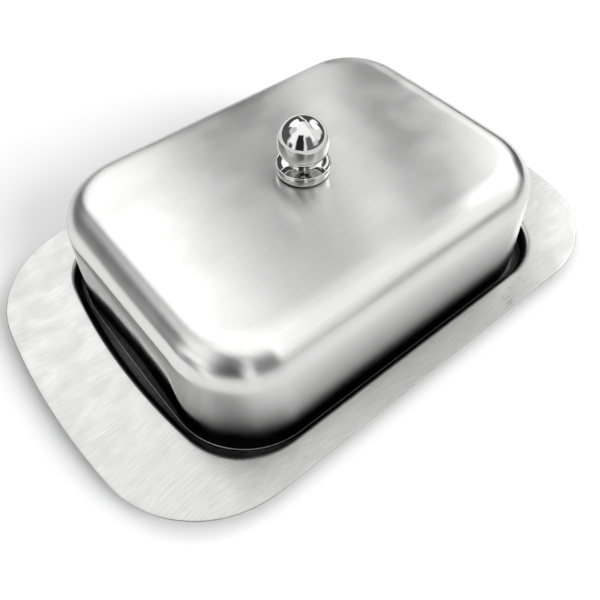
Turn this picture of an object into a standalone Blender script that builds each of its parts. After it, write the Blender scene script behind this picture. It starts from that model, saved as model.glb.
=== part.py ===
"""Butter dish: a pressed tray, and a drawn lid with a ball knob that lifts off it.

Metres, +Z up. The tray's flat underside stands on z = 0, the long side runs along X.
"""

import math

import bmesh
import bpy
from mathutils import Vector

MM = 0.001
REST_GAP = 0.3 * MM  # between the lid's rim and the tray's floor
SEAT_GAP = 0.1 * MM  # between the pieces that the knob screw clamps

# Tray: one sheet, a flat flange around a shallow well
TRAY_SHEET = 0.8 * MM
TRAY_HALF_X = 100.0 * MM
TRAY_HALF_Y = 65.0 * MM
TRAY_CORNER = 36.7 * MM
TRAY_END_BOW = 254.0 * MM
WELL_HALF_X = 76.5 * MM
WELL_HALF_Y = 56.5 * MM
WELL_CORNER = 24.5 * MM
WELL_END_BOW = 220.0 * MM
WELL_DEPTH = 5.5 * MM
LIP_RADIUS = 1.8 * MM  # the flange rolls down into the well
FLOOR_FILLET = 1.2 * MM
FLANGE_TOP = TRAY_SHEET + WELL_DEPTH
FLANGE_RINGS = 3
EDGE_ROUND = 0.25 * MM

# Lid shell: outline at its rim, then a drafted wall and a rounded top edge
LID_SHEET = 0.7 * MM
RIM_HALF_X = 71.6 * MM
RIM_HALF_Y = 53.1 * MM
RIM_CORNER = 26.9 * MM
RIM_END_BOW = 1300.0 * MM
LID_DRAFT = 2.05 * MM  # how far the wall leans in
LID_RIM_Z = TRAY_SHEET + REST_GAP
LID_TOP_Z = 43.1 * MM
LID_CROWN = 0.2 * MM
TOP_EDGE_RADIUS = 13.0 * MM
PANEL_RINGS = 6
WALL_RINGS = 3
SCREW_HOLE_RADIUS = 1.95 * MM

# Knob: a ball on a short neck and a dished foot, drilled from below
KNOB_BALL_RADIUS = 8.0 * MM
KNOB_BALL_Z = LID_TOP_Z + 11.3 * MM
KNOB_NECK_RADIUS = 4.6 * MM
KNOB_FOOT_RADIUS = 8.8 * MM
KNOB_FOOT_BASE_RADIUS = 8.3 * MM
KNOB_FOOT_HEIGHT = 3.15 * MM
KNOB_BEAD_RADIUS = 0.35 * MM
KNOB_BORE_RADIUS = 1.9 * MM
KNOB_BORE_DEPTH = 9.0 * MM
GASKET_RADIUS = 7.9 * MM
GASKET_THICKNESS = 0.35 * MM
GASKET_Z = LID_TOP_Z + SEAT_GAP
KNOB_BASE_Z = GASKET_Z + GASKET_THICKNESS + SEAT_GAP

# Knob screw, an M4 pan head with a cross recess, and its flat washer under the lid's top
WASHER_RADIUS = 4.0 * MM
WASHER_THICKNESS = 0.8 * MM
WASHER_TOP_Z = LID_TOP_Z - LID_SHEET - SEAT_GAP
SCREW_SHANK_RADIUS = 1.65 * MM
SCREW_HEAD_RADIUS = 3.5 * MM
SCREW_HEAD_HEIGHT = 2.6 * MM
SCREW_HEAD_TOP_Z = WASHER_TOP_Z - WASHER_THICKNESS - SEAT_GAP
SCREW_TIP_Z = KNOB_BASE_Z + 7.5 * MM
RECESS_LENGTH = 4.2 * MM
RECESS_WIDTH = 0.9 * MM
RECESS_DEPTH = 1.5 * MM

END_STEPS = 4
CORNER_STEPS = 11
SIDE_STEPS = 4
ARC_STEPS = 4
TOP_EDGE_STEPS = 10
TURN_STEPS = 48


def clear_scene():
    for obj in list(bpy.data.objects):
        bpy.data.objects.remove(obj, do_unlink=True)


def material(name, colour, metallic, roughness):
    made = bpy.data.materials.new(name)
    made.use_nodes = True
    shader = made.node_tree.nodes["Principled BSDF"]
    shader.inputs["Base Color"].default_value = (*colour, 1.0)
    shader.inputs["Metallic"].default_value = metallic
    shader.inputs["Roughness"].default_value = roughness
    made.diffuse_color = (*colour, 1.0)
    return made


def finish(name, mesh_builder, surface, smooth_below=math.radians(35)):
    """Turn a bmesh into a named, smooth-shaded object with its own material."""
    bmesh.ops.recalc_face_normals(mesh_builder, faces=mesh_builder.faces)
    mesh = bpy.data.meshes.new(name)
    mesh_builder.to_mesh(mesh)
    mesh_builder.free()
    mesh.shade_smooth()
    mesh.set_sharp_from_angle(angle=smooth_below)
    mesh.materials.append(surface)
    obj = bpy.data.objects.new(name, mesh)
    bpy.context.scene.collection.objects.link(obj)
    return obj


def arc(centre, radius, start, end, steps):
    """Points on an arc in a profile's plane, angles in degrees, both ends included."""
    points = []
    for step in range(steps + 1):
        angle = math.radians(start + (end - start) * step / steps)
        points.append((centre[0] + radius * math.cos(angle), centre[1] + radius * math.sin(angle)))
    return points


def outline(half_x, half_y, corner, bow, inset=0.0):
    """A rounded rectangle with straight long sides and short ends bowed outwards.

    The inset outline is parallel to the first one: every radius shrinks with it.
    """
    bow_x = half_x - bow
    corner_y = half_y - corner
    corner_x = bow_x + math.sqrt((bow - corner) ** 2 - corner_y**2)
    join = math.atan2(corner_y, corner_x - bow_x)
    quarter = []
    for step in range(END_STEPS):
        angle = join * step / END_STEPS
        quarter.append((bow_x + (bow - inset) * math.cos(angle), (bow - inset) * math.sin(angle)))
    for step in range(CORNER_STEPS):
        angle = join + (math.pi / 2 - join) * step / CORNER_STEPS
        turned_x = corner_x + (corner - inset) * math.cos(angle)
        turned_y = corner_y + (corner - inset) * math.sin(angle)
        quarter.append((turned_x, turned_y))
    for step in range(SIDE_STEPS):
        quarter.append((corner_x * (1 - step / SIDE_STEPS), half_y - inset))
    upper = quarter + [(0.0, half_y - inset)] + [(-x, y) for x, y in reversed(quarter)]
    return upper + [(x, -y) for x, y in reversed(upper[1:-1])]


def ring(points, z):
    return [Vector((x, y, z)) for x, y in points]


def blend(inner, outer, share):
    return [
        (a[0] + (b[0] - a[0]) * share, a[1] + (b[1] - a[1]) * share) for a, b in zip(inner, outer)
    ]


def loft(rings, closed):
    """Skin rings of equal count. A closed loft joins the last ring to the first, else both are capped."""
    builder = bmesh.new()
    loops = [[builder.verts.new(point) for point in points] for points in rings]
    pairs = list(zip(loops, loops[1:]))
    if closed:
        pairs.append((loops[-1], loops[0]))
    else:
        builder.faces.new(loops[0])
        builder.faces.new(loops[-1])
    for low, high in pairs:
        for i in range(len(low)):
            j = (i + 1) % len(low)
            builder.faces.new((low[i], low[j], high[j], high[i]))
    return builder


def turn(profile):
    """Spin a profile of (radius, z) points once about Z."""
    builder = bmesh.new()
    verts = [builder.verts.new((radius, 0.0, z)) for radius, z in profile]
    edges = [builder.edges.new(pair) for pair in zip(verts, verts[1:])]
    if profile[0][0] > 0.0:
        edges.append(builder.edges.new((verts[-1], verts[0])))
    bmesh.ops.spin(
        builder,
        geom=verts + edges,
        axis=(0.0, 0.0, 1.0),
        cent=(0.0, 0.0, 0.0),
        angle=2 * math.pi,
        steps=TURN_STEPS,
        use_merge=True,
    )
    bmesh.ops.remove_doubles(builder, verts=builder.verts, dist=0.001 * MM)
    return builder


def tray_outline(inset=0.0):
    return outline(TRAY_HALF_X, TRAY_HALF_Y, TRAY_CORNER, TRAY_END_BOW, inset)


def well_outline(inset=0.0):
    return outline(WELL_HALF_X, WELL_HALF_Y, WELL_CORNER, WELL_END_BOW, inset)


def rim_outline(inset=0.0):
    return outline(RIM_HALF_X, RIM_HALF_Y, RIM_CORNER, RIM_END_BOW, inset)


def well_section(drop):
    """(inset, z) from the floor up to the flange, on the sheet's face that lies `drop` below its top."""
    lip = LIP_RADIUS - drop
    fillet = FLOOR_FILLET + drop
    floor_centre = (LIP_RADIUS + FLOOR_FILLET, TRAY_SHEET + FLOOR_FILLET)
    lip_centre = (0.0, FLANGE_TOP - LIP_RADIUS)
    foot = arc(floor_centre, fillet, -90, -180, ARC_STEPS)
    shoulder = arc(lip_centre, lip, 0, 90, ARC_STEPS)
    return foot + shoulder


def make_tray():
    """One sheet, from the middle of the floor out over the flange and back underneath."""
    top = [ring(well_outline(inset), z) for inset, z in well_section(0.0)]
    under = [ring(well_outline(inset), z) for inset, z in well_section(TRAY_SHEET)]
    flange_under = FLANGE_TOP - TRAY_SHEET
    edge_top = tray_outline(EDGE_ROUND)
    flange = [
        ring(blend(well_outline(), edge_top, step / FLANGE_RINGS), FLANGE_TOP)
        for step in range(1, FLANGE_RINGS + 1)
    ]
    edge = [
        ring(tray_outline(), FLANGE_TOP - EDGE_ROUND),
        ring(tray_outline(), flange_under + EDGE_ROUND),
    ]
    flange_below = [
        ring(blend(well_outline(), edge_top, step / FLANGE_RINGS), flange_under)
        for step in range(FLANGE_RINGS, 0, -1)
    ]
    rings = top + flange + edge + flange_below + list(reversed(under))
    steel = material("tray_brushed_steel", (0.62, 0.62, 0.61), 1.0, 0.34)
    return finish("tray", loft(rings, closed=False), steel)


def lid_section(inward):
    """(inset, z) up the wall and over the top edge, `inward` of the shell's outer face."""
    wall_angle = math.degrees(math.atan2(LID_DRAFT, LID_TOP_Z - TOP_EDGE_RADIUS - LID_RIM_Z))
    edge_z = LID_TOP_Z - LID_CROWN - TOP_EDGE_RADIUS
    edge_inset = LID_DRAFT + TOP_EDGE_RADIUS * math.cos(math.radians(wall_angle))
    edge = arc((edge_inset, edge_z), TOP_EDGE_RADIUS - inward, 180 - wall_angle, 90, TOP_EDGE_STEPS)
    rim = (inward, LID_RIM_Z)
    wall = []
    for step in range(WALL_RINGS):
        share = step / WALL_RINGS
        wall.append((rim[0] + (edge[0][0] - rim[0]) * share, rim[1] + (edge[0][1] - rim[1]) * share))
    return wall + edge


def lid_rings(inward):
    """One face of the shell, from the rim to the edge of the screw hole."""
    section = lid_section(inward)
    rings = [ring(rim_outline(inset), z) for inset, z in section]
    shoulder = rim_outline(section[-1][0])
    hole = []
    for x, y in shoulder:
        angle = math.atan2(y, x)
        hole.append((SCREW_HOLE_RADIUS * math.cos(angle), SCREW_HOLE_RADIUS * math.sin(angle)))
    for step in range(1, PANEL_RINGS + 1):
        share = 1 - step / PANEL_RINGS
        crowned = section[-1][1] + LID_CROWN * (1 - share**2)
        rings.append(ring(blend(hole, shoulder, share), crowned))
    return rings


def make_lid_shell():
    """A drawn shell: its outer face up to the screw hole, then its inner face back to the rim."""
    rings = lid_rings(0.0) + list(reversed(lid_rings(LID_SHEET)))
    steel = material("lid_satin_steel", (0.66, 0.66, 0.65), 1.0, 0.24)
    return finish("lid_shell", loft(rings, closed=True), steel)


def make_knob():
    """Ball, neck and foot in one turned piece, with a blind bore for the screw."""
    neck_drop = math.sqrt(KNOB_BALL_RADIUS**2 - KNOB_NECK_RADIUS**2)
    neck_angle = -math.degrees(math.acos(KNOB_NECK_RADIUS / KNOB_BALL_RADIUS))
    ball = arc((0.0, KNOB_BALL_Z), KNOB_BALL_RADIUS, 90, neck_angle, 18)
    ball[0] = (0.0, ball[0][1])
    foot_top = KNOB_BASE_Z + KNOB_FOOT_HEIGHT
    flare_end = KNOB_FOOT_RADIUS - 2 * KNOB_BEAD_RADIUS
    flare_radius = flare_end - KNOB_NECK_RADIUS
    flare_height = KNOB_BALL_Z - neck_drop - foot_top
    flare = [
        (x, foot_top + flare_height * (z / flare_radius))
        for x, z in arc((flare_end, flare_radius), flare_radius, 180, 270, 8)[1:]
    ]
    bead_centre = (KNOB_FOOT_RADIUS - KNOB_BEAD_RADIUS, foot_top)
    bead = arc(bead_centre, KNOB_BEAD_RADIUS, 135, -90, 6)
    groove_radius = KNOB_FOOT_RADIUS - 1.5 * KNOB_BEAD_RADIUS
    band = [
        (groove_radius, foot_top - 1.3 * KNOB_BEAD_RADIUS),
        (KNOB_FOOT_RADIUS - 0.6 * KNOB_BEAD_RADIUS, foot_top - 2 * KNOB_BEAD_RADIUS),
        (KNOB_FOOT_BASE_RADIUS, KNOB_BASE_Z + EDGE_ROUND),
        (KNOB_FOOT_BASE_RADIUS - EDGE_ROUND, KNOB_BASE_Z),
    ]
    bore = [
        (KNOB_BORE_RADIUS, KNOB_BASE_Z),
        (KNOB_BORE_RADIUS, KNOB_BASE_Z + KNOB_BORE_DEPTH),
        (0.0, KNOB_BASE_Z + KNOB_BORE_DEPTH + KNOB_BORE_RADIUS / 2),
    ]
    chrome = material("knob_chrome", (0.74, 0.74, 0.74), 1.0, 0.04)
    return finish("knob", turn(ball + flare + bead + band + bore), chrome)


def make_flat_ring(name, inner, outer, low, high, surface):
    profile = [(inner, high), (outer, high), (outer, low), (inner, low)]
    return finish(name, turn(profile), surface)


def recess_cutter():
    """Two crossed bars that cut the driver recess into the screw head from below."""
    builder = bmesh.new()
    bottom = SCREW_HEAD_TOP_Z - SCREW_HEAD_HEIGHT
    half = RECESS_WIDTH / 2
    reach = RECESS_LENGTH / 2
    corners = [
        (reach, half), (half, half), (half, reach), (-half, reach), (-half, half), (-reach, half),
        (-reach, -half), (-half, -half), (-half, -reach), (half, -reach), (half, -half), (reach, -half),
    ]
    face = builder.faces.new([builder.verts.new((x, y, bottom - 1 * MM)) for x, y in corners])
    raised = bmesh.ops.extrude_face_region(builder, geom=[face])
    risen = [item for item in raised["geom"] if isinstance(item, bmesh.types.BMVert)]
    bmesh.ops.translate(builder, verts=risen, vec=(0.0, 0.0, RECESS_DEPTH + 1 * MM))
    cutter = finish("recess_cutter", builder, material("cutter", (0.5, 0.5, 0.5), 0.0, 0.5))
    cutter.hide_render = True
    cutter.display_type = "WIRE"
    return cutter


def make_knob_screw():
    """A pan head screw that comes up through washer, lid and gasket into the knob."""
    dome_radius = (SCREW_HEAD_RADIUS**2 + SCREW_HEAD_HEIGHT**2) / (2 * SCREW_HEAD_HEIGHT)
    bottom = SCREW_HEAD_TOP_Z - SCREW_HEAD_HEIGHT
    rim_angle = math.degrees(math.asin(SCREW_HEAD_RADIUS / dome_radius))
    dome = arc((0.0, bottom + dome_radius), dome_radius, rim_angle - 90, -90, 8)
    dome[-1] = (0.0, dome[-1][1])
    shank = [
        (0.0, SCREW_TIP_Z),
        (SCREW_SHANK_RADIUS - EDGE_ROUND, SCREW_TIP_Z),
        (SCREW_SHANK_RADIUS, SCREW_TIP_Z - EDGE_ROUND),
        (SCREW_SHANK_RADIUS, SCREW_HEAD_TOP_Z),
    ]
    steel = material("screw_steel", (0.58, 0.58, 0.57), 1.0, 0.3)
    screw = finish("knob_screw", turn(shank + dome), steel)
    cut = screw.modifiers.new("cross_recess", "BOOLEAN")
    cut.operation = "DIFFERENCE"
    cut.solver = "EXACT"
    cut.object = recess_cutter()
    return screw


def main():
    clear_scene()
    make_tray()
    lid_pieces = [make_lid_shell(), make_knob()]
    rubber = material("gasket_rubber", (0.02, 0.02, 0.02), 0.0, 0.6)
    lid_pieces.append(
        make_flat_ring(
            "knob_gasket", SCREW_HOLE_RADIUS, GASKET_RADIUS, GASKET_Z, GASKET_Z + GASKET_THICKNESS, rubber
        )
    )
    washer_steel = material("washer_steel", (0.6, 0.6, 0.59), 1.0, 0.32)
    lid_pieces.append(
        make_flat_ring(
            "knob_washer",
            SCREW_HOLE_RADIUS,
            WASHER_RADIUS,
            WASHER_TOP_Z - WASHER_THICKNESS,
            WASHER_TOP_Z,
            washer_steel,
        )
    )
    lid_pieces.append(make_knob_screw())
    lift = bpy.data.objects.new("lid_lift", None)
    bpy.context.scene.collection.objects.link(lift)
    for piece in lid_pieces:
        piece.parent = lift


main()
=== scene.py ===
"""The looks of a steel butter dish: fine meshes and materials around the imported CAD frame."""

import math
import bpy
import numpy as np
from mathutils import Matrix, Vector


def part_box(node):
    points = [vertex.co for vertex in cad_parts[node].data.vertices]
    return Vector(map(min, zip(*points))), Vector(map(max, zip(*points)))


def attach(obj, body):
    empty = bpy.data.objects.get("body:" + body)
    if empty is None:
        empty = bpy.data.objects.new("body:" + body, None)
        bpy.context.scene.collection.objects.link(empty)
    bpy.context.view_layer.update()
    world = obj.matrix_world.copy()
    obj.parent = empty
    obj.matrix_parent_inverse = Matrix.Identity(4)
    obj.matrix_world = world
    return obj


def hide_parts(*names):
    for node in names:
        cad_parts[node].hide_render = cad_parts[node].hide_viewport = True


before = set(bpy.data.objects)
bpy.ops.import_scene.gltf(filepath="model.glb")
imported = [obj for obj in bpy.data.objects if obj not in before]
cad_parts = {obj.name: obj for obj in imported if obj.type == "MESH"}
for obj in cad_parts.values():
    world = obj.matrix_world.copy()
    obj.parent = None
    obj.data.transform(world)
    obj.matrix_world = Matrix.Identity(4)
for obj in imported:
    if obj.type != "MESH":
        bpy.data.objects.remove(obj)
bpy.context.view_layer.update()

MM = 0.001

# Camera: place, heading and lens give the photograph's view
CAMERA_PLACE = Vector((-93.7, -114.8, 171.4)) * MM
CAMERA_AZIMUTH = -38.6
CAMERA_ELEVATION = 52.9
CAMERA_ROLL = -0.8
CAMERA_LENS = 36.44

# Places that come from the frame
TRAY_LOW, TRAY_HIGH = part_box("tray")
LID_LOW, LID_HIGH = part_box("lid_shell")
KNOB_LOW, KNOB_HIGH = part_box("knob")
GASKET_LOW, GASKET_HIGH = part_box("knob_gasket")
WASHER_LOW, WASHER_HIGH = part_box("knob_washer")
SCREW_LOW, SCREW_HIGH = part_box("knob_screw")

# Tray sheet
TRAY_SHEET = 0.8 * MM
TRAY_CORNER = 36.7 * MM
TRAY_END_BOW = 254.0 * MM
WELL_HALF_X = 76.5 * MM
WELL_HALF_Y = 56.5 * MM
WELL_CORNER = 24.5 * MM
WELL_END_BOW = 220.0 * MM
LIP_RADIUS = 1.8 * MM
FLOOR_FILLET = 1.2 * MM
EDGE_ROUND = 0.3 * MM
FLANGE_RINGS = 26
FLOOR_RINGS = 16

# Lid sheet
LID_SHEET = 0.7 * MM
RIM_CORNER = 26.9 * MM
RIM_END_BOW = 1300.0 * MM
RIM_ROUND = 0.22 * MM
LID_DRAFT = 2.05 * MM
LID_CROWN = 0.2 * MM
TOP_EDGE_RADIUS = 13.0 * MM
EDGE_SOFTNESS = 0.45
WALL_RINGS = 14
TOP_EDGE_STEPS = 36
PANEL_RINGS = 30
SCREW_HOLE_RADIUS = 1.95 * MM
RIM_BEAD = 0.2 * MM

# Knob: a ball on a neck, a flared foot with a bead round its edge, and the screw's bore
KNOB_BALL_RADIUS = 8.0 * MM
KNOB_NECK_RADIUS = 4.6 * MM
KNOB_FOOT_BASE_RADIUS = 8.3 * MM
KNOB_FOOT_HEIGHT = 3.15 * MM
KNOB_BEAD_RADIUS = 0.35 * MM
KNOB_BORE_RADIUS = 1.9 * MM
KNOB_BORE_DEPTH = 9.0 * MM
KNOB_BORE_CHAMFER = 0.3 * MM

# Screw: a domed head with a cross recess, a plain neck, then the thread
SCREW_HEAD_HEIGHT = 2.6 * MM
SCREW_HEAD_CHAMFER = 0.12 * MM
SCREW_NECK_CHAMFER = 0.15 * MM
SCREW_SHANK_RADIUS = 1.65 * MM
SCREW_THREAD_PITCH = 0.6 * MM
SCREW_THREAD_DEPTH = 0.32 * MM
SCREW_THREAD_STEPS = 12
SCREW_PLAIN_LENGTH = 1.6 * MM
RECESS_HALF_WIDTH = 0.45 * MM
RECESS_REACH = 2.1 * MM
RECESS_DEPTH = 1.5 * MM
RECESS_TAPER = 0.75
RECESS_OVERLAP = 1.0 * MM

# Rounded edges of the gasket and the washer
GASKET_BEVEL = 0.15 * MM
WASHER_BEVEL = 0.12 * MM

# Materials. Painted shade darkens the lid's colour near the well below one height, and not at all
# above the other.
LID_SHADE_NONE = 30.0 * MM
LID_SHADE_FULL = 23.0 * MM
LID_SHADE_REACH = 24.0 * MM
TRAY_SHADE_REACH = 8.0 * MM
# How far the tray's brushed grain wanders from a straight line
GRAIN_DRIFT = 16.0 * MM

# The studio. Light comes from this side, and the room behind the dish is dark.
LIGHT_SIDE = (-0.27, -0.72, 0.64)
CEILING_LIGHT = 1.6
ROOM_LIGHT = 0.11
# Where the light side fades into the room, in degrees
CEILING_EDGE = (-4, 5)
# What stands behind the dish, as the camera sees it: plain, and as pale as the floor
BACKDROP = 1.0
FLOOR_REACH = 3.0
FLOOR_GREY = 0.66
# The panels' edges are made uneven by noise of this scale and reach
UNEVEN_SCALE = 3.5
UNEVEN_REACH = 0.08

# Strips that run across the ceiling, parallel to Y: brightness, the angles out from the
# YZ plane where each begins and ends, the softness of those edges, and the angles up from
# the back horizon and over between which it runs, in degrees
CEILING_STRIPS = (
    (1.1, 21.0, 36.0, 2.0, 8, 106),
    (0.45, 34.5, 43.5, 2.0, 8, 106),
    (0.8, 43.0, 75.0, 3.0, 8, 70),
    (1.3, 19.0, 75.0, 4.0, 106, 152),
    (4.8, 42.0, 64.0, 3.0, 66, 104),
)
# One more strip, a window that shows in front of the dark room too
WINDOW_STRIP = (1.7, 31.0, 34.8, 1.2, 12, 88)
STRIP_END_SOFTNESS = 8

# Panels around the dish: brightness, bearing, half width, lowest and highest elevation,
# and softness of the edges, in degrees. A later one covers those before it.
STUDIO_PANELS = (
    (2.3, 4, 20, 28, 60, 3),  # softbox behind on the left
    (0.9, -40, 20, 44, 66, 5),  # wall beside it
    (0.14, -40, 26, -6, 40, 8),  # foot of that wall
    (0.15, -84, 10, -4, 16, 5),  # low and dark on the left
    (1.6, 70, 9, 14, 38, 3),  # softbox behind on the right
    (1.0, 158, 15, -8, 26, 5),  # low wall in front
    (0.12, 127, 23, -8, 15, 4),  # dark seam beside it
    (0.25, 162, 24, -3, 8, 3),  # foot of the wall in front
    (0.03, -126, 20, -4, 64, 5),  # dark camera side
    (0.2, -172, 17, -4, 54, 6),  # dim front, right of the camera
    (1.3, -149, 2, 4, 50, 2),  # bar of light between them
)

# The fill light in front: strength, how widely it spreads, and where it comes from
FILL_STRENGTH = 4.7
FILL_SPREAD = 40.0
FILL_BEARING = 160.0
FILL_ELEVATION = 22.0

# Mesh steps: around a quarter of an outline, and around a turned piece
END_STEPS = 20
CORNER_STEPS = 44
SIDE_STEPS = 24
TURN_STEPS = 160


# ---------------------------------------------------------------- shapes


def arc(centre, radius, start, end, steps):
    """Points on an arc in a profile's plane, angles in degrees, both ends included."""
    angles = np.radians(np.linspace(start, end, steps + 1))
    return [(centre[0] + radius * math.cos(a), centre[1] + radius * math.sin(a)) for a in angles]


def outline(half_x, half_y, corner, bow, inset=0.0):
    """A rounded rectangle with straight long sides and bowed ends, or its parallel `inset` inside."""
    bow_x = half_x - bow
    corner_y = half_y - corner
    corner_x = bow_x + math.sqrt((bow - corner) ** 2 - corner_y**2)
    join = math.atan2(corner_y, corner_x - bow_x)
    end = join * np.arange(END_STEPS) / END_STEPS
    turned = join + (math.pi / 2 - join) * np.arange(CORNER_STEPS) / CORNER_STEPS
    side = corner_x * (1 - np.arange(SIDE_STEPS) / SIDE_STEPS)
    x = [bow_x + (bow - inset) * np.cos(end), corner_x + (corner - inset) * np.cos(turned), side]
    y = [(bow - inset) * np.sin(end), corner_y + (corner - inset) * np.sin(turned)]
    y.append(np.full(SIDE_STEPS, half_y - inset))
    quarter = np.column_stack([np.concatenate(x), np.concatenate(y)])
    upper = np.vstack([quarter, [[0.0, half_y - inset]], quarter[::-1] * (-1, 1)])
    return np.vstack([upper, upper[1:-1][::-1] * (1, -1)])


def circle(radius):
    angles = 2 * math.pi * np.arange(TURN_STEPS) / TURN_STEPS
    return radius * np.column_stack([np.cos(angles), np.sin(angles)])


def ring(points, z):
    return np.column_stack([points, np.full(len(points), z)])


def skin(name, rings, closed=False, poles=(None, None)):
    """Quads between rings of equal count. Open ends are closed by a fan to a pole."""
    count = len(rings[0])
    verts = [tuple(p) for r in rings for p in r]
    faces = []
    last = len(rings) if closed else len(rings) - 1
    for row in range(last):
        low, high = row * count, (row + 1) % len(rings) * count
        for i in range(count):
            j = (i + 1) % count
            faces.append((low + i, low + j, high + j, high + i))
    for pole, row in zip(poles, (0, len(rings) - 1)):
        if pole is None:
            continue
        verts.append(tuple(pole))
        base = row * count
        for i in range(count):
            j = (i + 1) % count
            fan = (base + j, base + i, len(verts) - 1)
            faces.append(fan if row == 0 else fan[::-1])
    mesh = bpy.data.meshes.new(name)
    mesh.from_pydata(verts, [], faces)
    mesh.validate()
    return mesh


def face_outward(mesh):
    """Flip the mesh if the volume that its faces enclose comes out negative."""
    flat = np.zeros(len(mesh.vertices) * 3)
    mesh.vertices.foreach_get("co", flat)
    mesh.calc_loop_triangles()
    corners = np.zeros(len(mesh.loop_triangles) * 3, np.int32)
    mesh.loop_triangles.foreach_get("vertices", corners)
    a, b, c = flat.reshape(-1, 3)[corners.reshape(-1, 3)].transpose(1, 0, 2)
    if np.einsum("ij,ij->", a, np.cross(b, c)) < 0:
        mesh.flip_normals()


def as_piece(name, mesh, node, body, surface, smooth_below=40):
    """Link the mesh as a smooth-shaded piece that stands for a CAD node."""
    face_outward(mesh)
    mesh.shade_smooth()
    mesh.set_sharp_from_angle(angle=math.radians(smooth_below))
    mesh.materials.append(surface)
    obj = bpy.data.objects.new(name, mesh)
    bpy.context.scene.collection.objects.link(obj)
    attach(obj, body)
    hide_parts(node)


def lathe(name, profile):
    """Turn (radius, z) points about Z. Ends on the axis become poles, else the profile is a loop."""
    on_axis = profile[0][0] == 0.0
    inner = profile[1:-1] if on_axis else profile
    rings = [ring(circle(radius), z) for radius, z in inner]
    if not on_axis:
        return skin(name, rings, closed=True)
    poles = ((0.0, 0.0, profile[0][1]), (0.0, 0.0, profile[-1][1]))
    return skin(name, rings, poles=poles)


# ---------------------------------------------------------------- tray


def well_section(drop, flange_top, steps):
    """(inset, z) from the floor up to the flange, `drop` below the sheet's upper face."""
    floor_top = TRAY_LOW.z + TRAY_SHEET
    foot_centre = (LIP_RADIUS + FLOOR_FILLET, floor_top + FLOOR_FILLET)
    lip_centre = (0.0, flange_top - LIP_RADIUS)
    foot = arc(foot_centre, FLOOR_FILLET + drop, -90, -180, steps)
    shoulder = arc(lip_centre, LIP_RADIUS - drop, 0, 90, steps)
    return foot + shoulder


def tray_mesh():
    flange_top = TRAY_HIGH.z

    def well(inset):
        return outline(WELL_HALF_X, WELL_HALF_Y, WELL_CORNER, WELL_END_BOW, inset)

    def rim(inset):
        return outline(TRAY_HIGH.x, TRAY_HIGH.y, TRAY_CORNER, TRAY_END_BOW, inset)

    def flange(z):
        start, end = well(0.0), rim(EDGE_ROUND)
        shares = np.arange(1, FLANGE_RINGS + 1) / FLANGE_RINGS
        return [ring(start + (end - start) * share, z) for share in shares]

    def floor(z):
        edge = well(LIP_RADIUS + FLOOR_FILLET)
        return [ring(edge * share, z) for share in np.arange(1, FLOOR_RINGS) / FLOOR_RINGS]

    floor_top = TRAY_LOW.z + TRAY_SHEET
    top = [ring(well(inset), z) for inset, z in well_section(0.0, flange_top, 10)]
    under = [ring(well(inset), z) for inset, z in well_section(TRAY_SHEET, flange_top, 10)]
    low_centre = (0.0, flange_top - TRAY_SHEET + EDGE_ROUND)
    high_centre = (0.0, flange_top - EDGE_ROUND)
    edge = arc(high_centre, EDGE_ROUND, 90, 0, 5)[1:] + arc(low_centre, EDGE_ROUND, 0, -90, 5)
    edge = [ring(rim(EDGE_ROUND - reach), z) for reach, z in edge]
    below = flange(flange_top - TRAY_SHEET)[-2::-1]
    rings = floor(floor_top) + top + flange(flange_top) + edge + below
    rings += under[::-1] + floor(TRAY_LOW.z)[::-1]
    return skin("tray", rings, poles=((0, 0, floor_top), (0, 0, TRAY_LOW.z)))


# ---------------------------------------------------------------- lid


def rim_outline(inset):
    return outline(LID_HIGH.x, LID_HIGH.y, RIM_CORNER, RIM_END_BOW, inset)


def edge_curve(wall_angle):
    """(inset, rise, heading) over the top edge: an arc whose ends ease into the wall and the top."""
    share = np.linspace(0, 1, TOP_EDGE_STEPS + 1)
    eased = (1 - EDGE_SOFTNESS) * share + EDGE_SOFTNESS * (3 * share**2 - 2 * share**3)
    heading = wall_angle + (math.pi / 2 - wall_angle) * eased
    middle = (heading[1:] + heading[:-1]) / 2
    inset = np.concatenate([[0], np.cumsum(np.sin(middle))])
    rise = np.concatenate([[0], np.cumsum(np.cos(middle))])
    size = TOP_EDGE_RADIUS / inset[-1]
    return inset * size, rise * size, heading


def lid_face(inward):
    """Rings of one face of the shell, `inward` of its outer face, from the rim to the screw hole."""
    top = LID_HIGH.z - LID_CROWN
    wall_angle = math.atan2(LID_DRAFT, top - TOP_EDGE_RADIUS - LID_LOW.z)
    inset, rise, heading = edge_curve(wall_angle)
    edge_inset = LID_DRAFT + inset + inward * np.cos(heading)
    edge_z = top - rise[-1] + rise - inward * np.sin(heading)
    start_z = LID_LOW.z + RIM_ROUND
    section = []
    foot = inward
    if inward == 0.0:
        bead = arc((RIM_BEAD, start_z + RIM_BEAD), RIM_BEAD, 180, 90, 5)
        section = [(0.0, start_z)] + bead
        foot = RIM_BEAD
        start_z += 2 * RIM_BEAD
    for step in range(WALL_RINGS):
        share = step / WALL_RINGS
        wall_inset = foot + (edge_inset[0] - foot) * share
        section.append((wall_inset, start_z + (edge_z[0] - start_z) * share))
    section += list(zip(edge_inset, edge_z))
    rings = [ring(rim_outline(x), z) for x, z in section]
    shoulder = rim_outline(section[-1][0])
    angles = np.arctan2(shoulder[:, 1], shoulder[:, 0])
    hole = SCREW_HOLE_RADIUS * np.column_stack([np.cos(angles), np.sin(angles)])
    for step in range(1, PANEL_RINGS + 1):
        share = 1 - step / PANEL_RINGS
        crowned = section[-1][1] + LID_CROWN * (1 - share**2)
        rings.append(ring(hole + (shoulder - hole) * share, crowned))
    return rings


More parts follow.
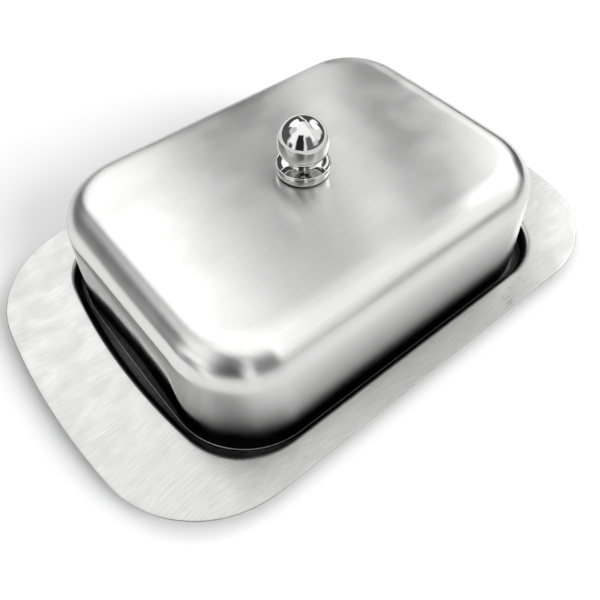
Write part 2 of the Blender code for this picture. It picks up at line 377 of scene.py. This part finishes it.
def lid_mesh():
    """Outer face, screw hole, inner face, then the rounded cut edge of the rim."""
    rim = arc((LID_SHEET / 2, LID_LOW.z + RIM_ROUND), LID_SHEET / 2, 0, -180, 8)[1:-1]
    middle = LID_LOW.z + RIM_ROUND
    squash = 2 * RIM_ROUND / LID_SHEET
    rim_rings = [ring(rim_outline(x), middle + (z - middle) * squash) for x, z in rim]
    rings = lid_face(0.0) + lid_face(LID_SHEET)[::-1] + rim_rings
    return skin("lid_shell", rings, closed=True)


# ---------------------------------------------------------------- knob and its fixings


def knob_mesh():
    base = KNOB_LOW.z
    ball_z = KNOB_HIGH.z - KNOB_BALL_RADIUS
    neck_drop = math.sqrt(KNOB_BALL_RADIUS**2 - KNOB_NECK_RADIUS**2)
    neck_angle = -math.degrees(math.acos(KNOB_NECK_RADIUS / KNOB_BALL_RADIUS))
    ball = [(0.0, KNOB_HIGH.z)] + arc((0.0, ball_z), KNOB_BALL_RADIUS, 89, neck_angle, 90)
    foot_top = base + KNOB_FOOT_HEIGHT
    foot_radius = KNOB_HIGH.x
    flare_end = foot_radius - 2 * KNOB_BEAD_RADIUS
    flare_radius = flare_end - KNOB_NECK_RADIUS
    flare_height = ball_z - neck_drop - foot_top
    flare = [
        (x, foot_top + flare_height * z / flare_radius)
        for x, z in arc((flare_end, flare_radius), flare_radius, 180, 270, 30)[1:]
    ]
    bead_centre = (foot_radius - KNOB_BEAD_RADIUS, foot_top)
    bead = arc(bead_centre, KNOB_BEAD_RADIUS, 135, -90, 16)
    groove_centre = (foot_radius - 0.5 * KNOB_BEAD_RADIUS, foot_top - 1.5 * KNOB_BEAD_RADIUS)
    groove = arc(groove_centre, 0.5 * KNOB_BEAD_RADIUS, 150, 210, 6)
    band_top = foot_top - 2 * KNOB_BEAD_RADIUS
    band = [
        (foot_radius - 0.6 * KNOB_BEAD_RADIUS, band_top),
        (foot_radius - 0.45 * KNOB_BEAD_RADIUS, band_top - 0.15 * MM),
    ]
    band += arc((KNOB_FOOT_BASE_RADIUS - EDGE_ROUND, base + EDGE_ROUND), EDGE_ROUND, 0, -90, 6)
    bore_top = base + KNOB_BORE_DEPTH
    bore = [
        (KNOB_BORE_RADIUS + KNOB_BORE_CHAMFER, base),
        (KNOB_BORE_RADIUS, base + KNOB_BORE_CHAMFER),
        (KNOB_BORE_RADIUS, bore_top),
        (0.0, bore_top + KNOB_BORE_RADIUS / 2),
    ]
    return lathe("knob", ball + flare + bead + groove + band + bore)


def rounded_ring_mesh(name, low, high, hole, bevel):
    """A flat ring with rounded edges, between two z values."""
    outer = high.x
    rim = arc((outer - bevel, high.z - bevel), bevel, 90, 0, 4)
    rim += arc((outer - bevel, low.z + bevel), bevel, 0, -90, 4)
    bore = arc((hole + bevel, low.z + bevel), bevel, 270, 180, 4)
    bore += arc((hole + bevel, high.z - bevel), bevel, 180, 90, 4)
    return lathe(name, rim + bore)


def threaded_ring(z, inset, start, end):
    """The shank's outline at one height: a triangular thread that winds up about Z."""
    turn = np.arange(TURN_STEPS) / TURN_STEPS
    phase = (z / SCREW_THREAD_PITCH - turn) % 1.0
    groove = 1 - np.abs(2 * phase - 1)
    run_out = min(1.0, (z - start) / SCREW_THREAD_PITCH, (end - z) / SCREW_THREAD_PITCH)
    radius = SCREW_SHANK_RADIUS - inset - SCREW_THREAD_DEPTH * max(0.0, run_out) * groove
    return ring(circle(1.0) * radius[:, None], z)


def cross_recess_mesh():
    """The cutter for the driver's recess, a cross that narrows as it goes into the head."""
    mouth_z = SCREW_LOW.z - RECESS_OVERLAP
    floor_z = SCREW_LOW.z + RECESS_DEPTH
    half = RECESS_HALF_WIDTH
    rings = []
    for z, reach in ((mouth_z, RECESS_REACH), (floor_z, RECESS_TAPER * RECESS_REACH)):
        arm = np.array([(reach, -half), (reach, half), (half, half)])
        turns = [np.array([[c, s], [-s, c]]) for c, s in ((1, 0), (0, 1), (-1, 0), (0, -1))]
        rings.append(ring(np.vstack([arm @ turn for turn in turns]), z))
    return skin("recess", rings, poles=((0, 0, mouth_z), (0, 0, floor_z)))


def carved(body, cutter):
    """The first closed mesh less the second."""
    pair = []
    for mesh in (body, cutter):
        face_outward(mesh)
        obj = bpy.data.objects.new(mesh.name, mesh)
        bpy.context.scene.collection.objects.link(obj)
        pair.append(obj)
    cut = pair[0].modifiers.new("cut", "BOOLEAN")
    cut.object = pair[1]
    cut.operation = "DIFFERENCE"
    cut.solver = "EXACT"
    view = bpy.context.evaluated_depsgraph_get()
    mesh = bpy.data.meshes.new_from_object(pair[0].evaluated_get(view))
    for obj in pair:
        bpy.data.objects.remove(obj)
    return mesh


def screw_mesh():
    """A pan-head screw, head down: domed head with a cross recess, short plain neck, then thread."""
    head_radius = SCREW_HIGH.x
    head_top = SCREW_LOW.z + SCREW_HEAD_HEIGHT
    dome_radius = (head_radius**2 + SCREW_HEAD_HEIGHT**2) / (2 * SCREW_HEAD_HEIGHT)
    rim_angle = math.degrees(math.asin(head_radius / dome_radius))
    dome_centre = (0.0, SCREW_LOW.z + dome_radius)
    dome = arc(dome_centre, dome_radius, -90, -90 + rim_angle - 2, 30)[1:]
    shoulder = [
        (head_radius, head_top - SCREW_HEAD_CHAMFER),
        (head_radius - SCREW_HEAD_CHAMFER, head_top),
    ]
    neck = [
        (SCREW_SHANK_RADIUS + SCREW_NECK_CHAMFER, head_top),
        (SCREW_SHANK_RADIUS, head_top + SCREW_NECK_CHAMFER),
    ]
    rings = [ring(circle(radius), z) for radius, z in dome + shoulder + neck]
    start = head_top + SCREW_PLAIN_LENGTH
    end = SCREW_HIGH.z - EDGE_ROUND
    for z in np.arange(start, end, SCREW_THREAD_PITCH / SCREW_THREAD_STEPS):
        rings.append(threaded_ring(z, 0.0, start, end))
    rings.append(threaded_ring(end, 0.0, start, end))
    rings.append(threaded_ring(SCREW_HIGH.z, EDGE_ROUND, start, end))
    poles = ((0, 0, SCREW_LOW.z), (0, 0, SCREW_HIGH.z))
    return carved(skin("screw", rings, poles=poles), cross_recess_mesh())


# ---------------------------------------------------------------- materials


class Nodes:
    """A short way to write a node tree."""

    def __init__(self, tree):
        self.tree = tree
        self.tree.nodes.clear()

    def add(self, kind, **settings):
        node = self.tree.nodes.new(kind)
        for key, value in settings.items():
            setattr(node, key, value)
        return node

    def link(self, source, target):
        self.tree.links.new(source, target)

    def fill(self, socket, value):
        if isinstance(value, bpy.types.NodeSocket):
            self.link(value, socket)
        else:
            socket.default_value = value

    def math(self, operation, *values, clamp=False):
        node = self.add("ShaderNodeMath", operation=operation, use_clamp=clamp)
        for socket, value in zip(node.inputs, values):
            self.fill(socket, value)
        return node.outputs[0]

    def vector(self, operation, *values):
        node = self.add("ShaderNodeVectorMath", operation=operation)
        for socket, value in zip(node.inputs, values):
            self.fill(socket, value)
        return node.outputs[0]

    def xyz(self, vector):
        node = self.add("ShaderNodeSeparateXYZ")
        self.link(vector, node.inputs[0])
        return node.outputs

    def noise(self, place, scale, detail=2.0, roughness=0.5, turn=0.0):
        """Noise over a place in millimetres, turned about Z by `turn` degrees and then scaled."""
        turned = self.add("ShaderNodeMapping", vector_type="POINT")
        self.link(place, turned.inputs["Vector"])
        turned.inputs["Rotation"].default_value = (0, 0, math.radians(turn))
        scaled = self.vector("MULTIPLY", turned.outputs[0], [s / MM for s in scale])
        node = self.add("ShaderNodeTexNoise")
        self.link(scaled, node.inputs["Vector"])
        node.inputs["Scale"].default_value = 1.0
        node.inputs["Detail"].default_value = detail
        node.inputs["Roughness"].default_value = roughness
        return node.outputs["Fac"]

    def span(self, value, low, high, to_low=0.0, to_high=1.0):
        """The value's place between two limits, eased in and out, carried to another range."""
        node = self.add("ShaderNodeMapRange", interpolation_type="SMOOTHSTEP")
        self.link(value, node.inputs["Value"])
        limits = {"From Min": low, "From Max": high, "To Min": to_low, "To Max": to_high}
        for name, number in limits.items():
            node.inputs[name].default_value = number
        return node.outputs[0]


def blank_material(name):
    made = bpy.data.materials.new(name)
    made.use_nodes = True
    nodes = Nodes(made.node_tree)
    shader = nodes.add("ShaderNodeBsdfPrincipled")
    output = nodes.add("ShaderNodeOutputMaterial")
    nodes.link(shader.outputs[0], output.inputs["Surface"])
    return made, nodes, shader


def grey_ramp(nodes, value, low, high):
    """A neutral colour that runs from one grey to another as the value goes from 0 to 1."""
    ramp = nodes.add("ShaderNodeMix", data_type="RGBA")
    nodes.link(value, ramp.inputs["Factor"])
    ramp.inputs["A"].default_value = (low, low, low * 0.995, 1)
    ramp.inputs["B"].default_value = (high, high, high * 0.995, 1)
    return ramp.outputs["Result"]


def bump(nodes, height, strength, distance):
    node = nodes.add("ShaderNodeBump")
    node.inputs["Strength"].default_value = strength
    node.inputs["Distance"].default_value = distance
    nodes.link(height, node.inputs["Height"])
    return node.outputs[0]


def painted_crevice_shade(nodes, colour, reach, closed, clear, keep=None):
    """Painted shade: the sheet's colour darkens where other surfaces within reach close it in, but
    not where it is kept.
    """
    open_sky = nodes.add("ShaderNodeAmbientOcclusion", samples=8)
    open_sky.inputs["Distance"].default_value = reach
    kept = nodes.span(open_sky.outputs["AO"], closed, clear, 0.02, 1.0)
    if keep is not None:
        kept = nodes.math("MAXIMUM", kept, keep)
    shaded = nodes.add("ShaderNodeVectorMath", operation="SCALE")
    nodes.link(colour, shaded.inputs[0])
    nodes.link(kept, shaded.inputs["Scale"])
    return shaded.outputs[0]


def across_grain(nodes, shader):
    """The grain lies in planes along X, and a highlight spreads across it."""
    facing = nodes.add("ShaderNodeNewGeometry").outputs["Normal"]
    across = nodes.vector("CROSS_PRODUCT", (1, 0, 0), facing)
    # The product vanishes on the end walls, so a small offset gives them a direction too
    nodes.link(nodes.vector("ADD", across, (0, -0.01, 0)), shader.inputs["Tangent"])


def brushed_steel(name):
    """Coarse belt-brushed sheet: long grain along X, with short scratches that cross it."""
    made, nodes, shader = blank_material(name)
    place = nodes.add("ShaderNodeTexCoord").outputs["Object"]
    drift = nodes.noise(place, (0.02, 0.02, 0.02), 1.0)
    bent = nodes.vector("MULTIPLY_ADD", drift, (0, GRAIN_DRIFT, 0), place)
    fine = nodes.noise(bent, (0.12, 5.0, 5.0), 2.0, 0.6)
    coarse = nodes.noise(bent, (0.14, 3.2, 3.2), 2.0, 0.6, turn=4)
    scratch = nodes.span(nodes.noise(bent, (0.2, 4.0, 4.0), 1.0, turn=-7), 0.62, 0.72)
    cloud = nodes.noise(place, (0.12, 0.16, 0.16), 3.0)
    grain = nodes.math("ADD", nodes.math("MULTIPLY", fine, 0.5), nodes.math("MULTIPLY", coarse, 0.5))
    worn = nodes.math("MULTIPLY", scratch, 0.6)
    tone = nodes.math("SUBTRACT", nodes.span(grain, 0.3, 0.7), worn, clamp=True)
    steel = grey_ramp(nodes, tone, 0.41, 0.52)
    # Painted shade: the tray's colour darkens where nearby surfaces close it in, as in the well round
    # the lid
    shaded = painted_crevice_shade(nodes, steel, TRAY_SHADE_REACH, 0.45, 0.7)
    nodes.link(shaded, shader.inputs["Base Color"])
    uneven = nodes.span(cloud, 0.3, 0.7, 0.24, 0.33)
    rough = nodes.math("ADD", uneven, nodes.span(fine, 0.3, 0.7, 0.0, 0.06))
    nodes.link(rough, shader.inputs["Roughness"])
    height = nodes.math("SUBTRACT", grain, nodes.math("MULTIPLY", scratch, 0.25))
    nodes.link(bump(nodes, height, 0.3, 0.015 * MM), shader.inputs["Normal"])
    shader.inputs["Metallic"].default_value = 1.0
    shader.inputs["Anisotropic"].default_value = 0.8
    across_grain(nodes, shader)
    return made


def satin_steel(name):
    """Bright-rolled sheet with a very fine satin grain and the faint unevenness of deep drawing."""
    made, nodes, shader = blank_material(name)
    place = nodes.add("ShaderNodeTexCoord").outputs["Object"]
    fine = nodes.noise(place, (0.5, 2.4, 2.4), 1.0)
    lines = nodes.noise(place, (0.04, 1.2, 1.2), 1.0)
    cloud = nodes.noise(place, (0.05, 0.07, 0.07), 2.0)
    drawn = nodes.noise(place, (0.07, 0.07, 0.07), 1.0)
    tone = nodes.math("ADD", nodes.math("MULTIPLY", fine, 0.4), nodes.math("MULTIPLY", lines, 0.6))
    steel = grey_ramp(nodes, nodes.span(tone, 0.3, 0.7), 0.65, 0.68)
    height = nodes.xyz(place)[2]
    facing = nodes.xyz(nodes.add("ShaderNodeNewGeometry").outputs["Normal"])
    sideways = nodes.math("ABSOLUTE", facing[0])
    # The upper lid gets no painted shade, and neither does the bead at the rim, most of all along the
    # ends
    upper = nodes.span(height, LID_SHADE_FULL, LID_SHADE_NONE)
    bead_top = LID_LOW.z + RIM_ROUND + 2 * RIM_BEAD
    bead = nodes.span(height, bead_top, bead_top + RIM_BEAD, 1.0, 0.0)
    bead = nodes.math("MULTIPLY", bead, nodes.span(sideways, 0.05, 0.4, 0.2, 1.0))
    keep = nodes.math("MAXIMUM", bead, upper)
    # Painted shade: the lid's colour darkens low down, where the well and tray close it in
    shaded = painted_crevice_shade(nodes, steel, LID_SHADE_REACH, 0.6, 0.96, keep)
    nodes.link(shaded, shader.inputs["Base Color"])
    # The end walls are the smoothest and the flat top the roughest
    rough = nodes.span(cloud, 0.3, 0.7, 0.18, 0.22)
    rough = nodes.math("MULTIPLY", rough, nodes.span(sideways, 0.85, 0.98, 1.1, 0.4))
    rough = nodes.math("MULTIPLY", rough, nodes.span(facing[2], 0.93, 0.995, 1.0, 1.45))
    nodes.link(rough, shader.inputs["Roughness"])
    nodes.link(bump(nodes, drawn, 0.5, 0.12 * MM), shader.inputs["Normal"])
    shader.inputs["Metallic"].default_value = 1.0
    shader.inputs["Anisotropic"].default_value = 0.95
    across_grain(nodes, shader)
    return made


def chrome(name):
    """Mirror-polished plate with faint finger smudges."""
    made, nodes, shader = blank_material(name)
    place = nodes.add("ShaderNodeTexCoord").outputs["Object"]
    smudge = nodes.noise(place, (0.25, 0.25, 0.25), 3.0)
    fine = nodes.noise(place, (3.0, 3.0, 3.0), 2.0)
    nodes.link(grey_ramp(nodes, fine, 0.53, 0.59), shader.inputs["Base Color"])
    nodes.link(nodes.span(smudge, 0.45, 0.75, 0.02, 0.07), shader.inputs["Roughness"])
    shader.inputs["Metallic"].default_value = 1.0
    return made


def plain_steel(name):
    """Unpolished stainless for the screw and washer, with fine stamping marks."""
    made, nodes, shader = blank_material(name)
    place = nodes.add("ShaderNodeTexCoord").outputs["Object"]
    fine = nodes.noise(place, (4.0, 4.0, 4.0), 3.0)
    cloud = nodes.noise(place, (0.5, 0.5, 0.5), 2.0)
    nodes.link(grey_ramp(nodes, cloud, 0.5, 0.66), shader.inputs["Base Color"])
    nodes.link(nodes.span(fine, 0.3, 0.7, 0.22, 0.36), shader.inputs["Roughness"])
    nodes.link(bump(nodes, fine, 0.3, 0.01 * MM), shader.inputs["Normal"])
    shader.inputs["Metallic"].default_value = 1.0
    return made


def black_rubber(name):
    """Matt black gasket rubber, slightly mottled."""
    made, nodes, shader = blank_material(name)
    place = nodes.add("ShaderNodeTexCoord").outputs["Object"]
    fine = nodes.noise(place, (5.0, 5.0, 5.0), 3.0)
    nodes.link(grey_ramp(nodes, fine, 0.012, 0.03), shader.inputs["Base Color"])
    nodes.link(nodes.span(fine, 0.3, 0.7, 0.5, 0.7), shader.inputs["Roughness"])
    nodes.link(bump(nodes, fine, 0.3, 0.02 * MM), shader.inputs["Normal"])
    return made


# ---------------------------------------------------------------- stage


def make_floor():
    reach = FLOOR_REACH
    mesh = bpy.data.meshes.new("floor")
    corners = [(-reach, -reach, 0), (reach, -reach, 0), (reach, reach, 0), (-reach, reach, 0)]
    mesh.from_pydata(corners, [], [(0, 1, 2, 3)])
    made, _, shader = blank_material("floor_white")
    shader.inputs["Base Color"].default_value = (FLOOR_GREY, FLOOR_GREY, FLOOR_GREY, 1)
    shader.inputs["Roughness"].default_value = 0.9
    shader.inputs["Specular IOR Level"].default_value = 0.1
    mesh.materials.append(made)
    obj = bpy.data.objects.new("floor", mesh)
    bpy.context.scene.collection.objects.link(obj)


def uneven_way(nodes):
    """The direction looked in, pushed about by noise so that no panel has a ruled edge."""
    way = nodes.add("ShaderNodeTexCoord").outputs["Generated"]
    noise = nodes.add("ShaderNodeTexNoise")
    nodes.link(way, noise.inputs["Vector"])
    noise.inputs["Scale"].default_value = UNEVEN_SCALE
    shifted = nodes.vector("ADD", way, (-UNEVEN_REACH,) * 3)
    pushed = nodes.vector("MULTIPLY_ADD", noise.outputs["Color"], (2 * UNEVEN_REACH,) * 3, shifted)
    return nodes.vector("NORMALIZE", pushed)


def make_world():
    """The studio that the steel reflects. The camera itself sees a plain backdrop in its place."""
    world = bpy.data.worlds.new("studio")
    bpy.context.scene.world = world
    world.use_nodes = True
    nodes = Nodes(world.node_tree)
    way = uneven_way(nodes)
    x, y, z = nodes.xyz(way)
    height = nodes.math("DEGREES", nodes.math("ARCSINE", z))
    out = nodes.math("DEGREES", nodes.math("ARCSINE", x))
    over = nodes.math("DEGREES", nodes.math("ARCTAN2", z, y))

    def bearing(centre):
        """Degrees around from a bearing, which is measured from +Y towards +X."""
        c, s = math.cos(math.radians(centre)), math.sin(math.radians(centre))
        across = nodes.math("SUBTRACT", nodes.math("MULTIPLY", x, c), nodes.math("MULTIPLY", y, s))
        ahead = nodes.math("ADD", nodes.math("MULTIPLY", x, s), nodes.math("MULTIPLY", y, c))
        return nodes.math("DEGREES", nodes.math("ARCTAN2", across, ahead))

    def within(value, low, high, soft):
        """1 between two limits, with soft edges."""
        rise = nodes.span(value, low - soft, low + soft)
        fall = nodes.span(value, high - soft, high + soft, 1.0, 0.0)
        return nodes.math("MULTIPLY", rise, fall)

    def lay(light, level, mask):
        """The light so far, covered by a level where the mask is 1."""
        mix = nodes.add("ShaderNodeMix", data_type="FLOAT")
        for name, value in (("Factor", mask), ("A", light), ("B", level)):
            nodes.fill(mix.inputs[name], value)
        return mix.outputs["Result"]

    def lay_strip(light, strip):
        level, low, high, soft, start, end = strip
        along = within(over, start, end, STRIP_END_SOFTNESS)
        return lay(light, level, nodes.math("MULTIPLY", within(out, low, high, soft), along))

    toward = nodes.add("ShaderNodeVectorMath", operation="DOT_PRODUCT")
    nodes.link(way, toward.inputs[0])
    toward.inputs[1].default_value = LIGHT_SIDE
    edge = nodes.math("DEGREES", nodes.math("ARCSINE", toward.outputs["Value"]))
    ceiling = CEILING_LIGHT
    for strip in CEILING_STRIPS:
        ceiling = lay_strip(ceiling, strip)
    light = lay(ROOM_LIGHT, ceiling, nodes.span(edge, *CEILING_EDGE))
    light = lay_strip(light, WINDOW_STRIP)
    for level, centre, half_width, low, high, soft in STUDIO_PANELS:
        across = within(bearing(centre), -half_width, half_width, soft)
        mask = nodes.math("MULTIPLY", across, within(height, low, high, soft))
        light = lay(light, level, mask)
    seen = nodes.add("ShaderNodeLightPath").outputs["Is Camera Ray"]
    background = nodes.add("ShaderNodeBackground")
    nodes.link(lay(light, BACKDROP, seen), background.inputs["Color"])
    background.inputs["Strength"].default_value = 1.0
    output = nodes.add("ShaderNodeOutputWorld")
    nodes.link(background.outputs[0], output.inputs["Surface"])


def make_fill():
    """A low soft light from the front. It brightens the floor, and the steel doesn't reflect it."""
    data = bpy.data.lights.new("fill", "SUN")
    data.energy = FILL_STRENGTH
    data.angle = math.radians(FILL_SPREAD)
    fill = bpy.data.objects.new("fill", data)
    azimuth, elevation = math.radians(FILL_BEARING), math.radians(FILL_ELEVATION)
    toward = Vector((math.sin(azimuth), math.cos(azimuth), math.tan(elevation)))
    fill.rotation_euler = toward.to_track_quat("Z", "Y").to_euler()
    fill.visible_glossy = False
    bpy.context.scene.collection.objects.link(fill)


def make_camera():
    data = bpy.data.cameras.new("camera")
    data.sensor_width = 36.0
    data.lens = CAMERA_LENS
    data.clip_start = 0.01
    camera = bpy.data.objects.new("camera", data)
    azimuth, elevation = math.radians(CAMERA_AZIMUTH), math.radians(CAMERA_ELEVATION)
    back = Vector(
        (
            math.sin(azimuth) * math.cos(elevation),
            -math.cos(azimuth) * math.cos(elevation),
            math.sin(elevation),
        )
    )
    right = (-back).cross(Vector((0, 0, 1))).normalized()
    up = right.cross(-back)
    level = Matrix((right, up, back)).transposed()
    rolled = level @ Matrix.Rotation(math.radians(CAMERA_ROLL), 3, "Z")
    camera.matrix_world = Matrix.Translation(CAMERA_PLACE) @ rolled.to_4x4()
    bpy.context.scene.collection.objects.link(camera)
    bpy.context.scene.camera = camera


# ---------------------------------------------------------------- all of it


def build():
    brushed, satin = brushed_steel("tray_brushed"), satin_steel("lid_satin")
    as_piece("tray_sheet", tray_mesh(), "tray", "tray", brushed)
    as_piece("lid_sheet", lid_mesh(), "lid_shell", "lid", satin)
    as_piece("ball_knob", knob_mesh(), "knob", "lid", chrome("knob_mirror"), 50)
    gasket = rounded_ring_mesh("gasket", GASKET_LOW, GASKET_HIGH, SCREW_HOLE_RADIUS, GASKET_BEVEL)
    black = black_rubber("gasket_black")
    as_piece("foot_gasket", gasket, "knob_gasket", "lid", black)
    washer = rounded_ring_mesh("washer", WASHER_LOW, WASHER_HIGH, SCREW_HOLE_RADIUS, WASHER_BEVEL)
    plain = plain_steel("washer_plain")
    as_piece("flat_washer", washer, "knob_washer", "lid", plain)
    plain = plain_steel("screw_plain")
    as_piece("pan_head_screw", screw_mesh(), "knob_screw", "lid", plain, 30)


bpy.context.scene.view_settings.view_transform = "Standard"
build()
make_floor()
make_world()
make_fill()
make_camera()
